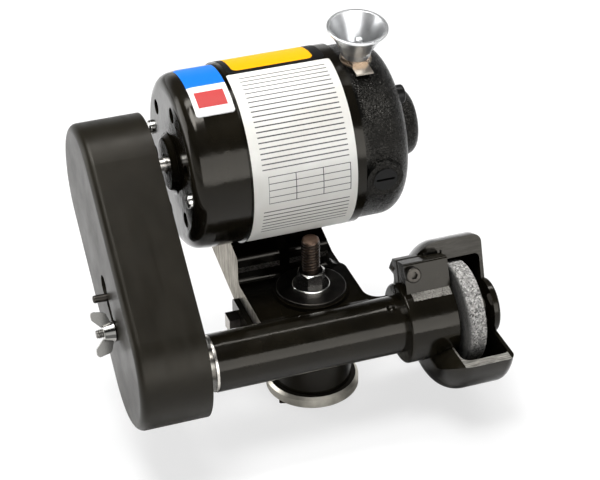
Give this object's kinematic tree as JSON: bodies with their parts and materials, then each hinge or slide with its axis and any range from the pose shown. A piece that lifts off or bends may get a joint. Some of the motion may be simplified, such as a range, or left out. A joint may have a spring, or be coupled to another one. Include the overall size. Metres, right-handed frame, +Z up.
{
  "type": "tool post grinder",
  "caption": "Tool post grinder for a lathe: a motor on an inclined pad drives, by a guarded belt, a spindle with a small guarded wheel on a frame clamped by a tee stud.",
  "frame": {"origin": "axis of the tool post stud at the underside of the base disc, where it sits on the lathe's slide", "axes": "+X along the grinding spindle towards the wheel, +Y towards the motor, +Z up along the stud"},
  "size_m": [0.199, 0.1424, 0.1917],
  "materials": {
    "black_enamel": "glossy black enamel on castings",
    "crackle_enamel": "black crackle enamel",
    "moulded_black": "fine grained moulding",
    "machined_steel": "turned steel",
    "dark_steel": "oil blackened steel",
    "zinc": "bright zinc plate",
    "bearing_steel": "ground steel",
    "abrasive": "open grained vitrified grit",
    "blotter_paper": "pressed paper",
    "laminated_iron": "stacked sheet",
    "copper": "enamelled copper",
    "pulley_alloy": "turned",
    "fan_moulding": "moulded",
    "brass": "drawn",
    "carbon": "pressed carbon",
    "spring_steel": "wire",
    "black_moulding": "moulded",
    "chrome": "bright plate",
    "belt_rubber": "matte"
  },
  "bodies": {
    "clamp_base": {"tee_bolt": "dark_steel", "base_disc": "machined_steel", "seat_washer": "dark_steel", "flat_washer": "zinc", "stud_nut": "zinc"},
    "frame": {"frame_casting": "black_enamel", "lock_screw": "machined_steel", "spindle_bearings": "bearing_steel", "bearing_spacer": "machined_steel", "rear_bearing_cap": "machined_steel", "front_bearing_cap": "machined_steel", "drive_belt": "belt_rubber", "cover_bracket": "black_enamel", "cover_stud": "zinc", "cover_pin": "dark_steel"},
    "spindle": {"spindle_shaft": "machined_steel", "inner_flange": "machined_steel", "outer_flange": "machined_steel", "wheel_blotters": "blotter_paper", "grinding_wheel": "abrasive", "arbor_nut": "zinc", "spindle_pulley": "pulley_alloy", "spindle_pulley_screw": "zinc"},
    "wheel_guard": {"wheel_guard": "black_enamel", "guard_clamp_screw": "dark_steel", "guard_clamp_nut": "dark_steel"},
    "motor": {"motor_band": "black_enamel", "drive_end_bell": "black_enamel", "brush_end_cap": "crackle_enamel", "through_bolts": "zinc", "field_stack": "laminated_iron", "field_coils": "copper", "motor_bearings": "bearing_steel", "brush_holders": "brass", "carbon_brushes": "carbon", "brush_springs": "spring_steel", "brush_caps": "black_moulding", "motor_foot": "black_enamel", "foot_washer": "zinc", "foot_nut": "zinc", "switch_body": "black_moulding", "switch_plate": "chrome", "switch_nut": "chrome", "switch_guard": "chrome", "cord_gland": "black_moulding"},
    "armature": {"armature_shaft": "machined_steel", "armature_core": "laminated_iron", "armature_windings": "copper", "commutator": "copper", "cooling_fan": "fan_moulding", "motor_pulley": "pulley_alloy", "motor_pulley_screw": "zinc"},
    "toggle": {"toggle_lever": "chrome"},
    "belt_cover": {"belt_cover": "moulded_black"},
    "wing_nut": {"wing_nut": "zinc"}
  },
  "joints": [
    {"name": "frame_swivel", "type": "hinge", "parent": "clamp_base", "child": "frame", "pos_m": [0, 0, 0], "axis": [0, 0, 1], "continuous": true},
    {"name": "wheel_guard_swivel", "type": "hinge", "parent": "frame", "child": "wheel_guard", "pos_m": [0.047, -0.027, 0.0445], "axis": [1, 0, 0], "continuous": true},
    {"name": "motor_slide", "type": "slide", "parent": "frame", "child": "motor", "axis": [0, 0.9617, 0.274], "range_m": [0, 0.006], "deforming": ["drive_belt"]},
    {"name": "armature_spin", "type": "hinge", "parent": "motor", "child": "armature", "pos_m": [0, 0.033, 0.1225], "axis": [1, 0, 0], "continuous": true},
    {"name": "spindle_spin", "type": "hinge", "parent": "frame", "child": "spindle", "pos_m": [0, -0.027, 0.0445], "axis": [1, 0, 0], "continuous": true},
    {"name": "switch_toggle", "type": "hinge", "parent": "motor", "child": "toggle", "pos_m": [0.033, 0.02596, 0.16695], "axis": [1, 0, 0], "range_deg": [-24, 0]},
    {"name": "belt_cover_slide", "type": "slide", "parent": "frame", "child": "belt_cover", "axis": [0, -0.7679, -0.6405], "range_m": [0, 0.008]},
    {"name": "wing_nut_turn", "type": "hinge", "parent": "frame", "child": "wing_nut", "pos_m": [-0.1065, -0.01655, 0.06719], "axis": [1, 0, 0], "continuous": true}
  ],
  "couplings": [
    {"joint": "spindle_spin", "follows": "armature_spin", "ratio": 0.6}
  ]
}
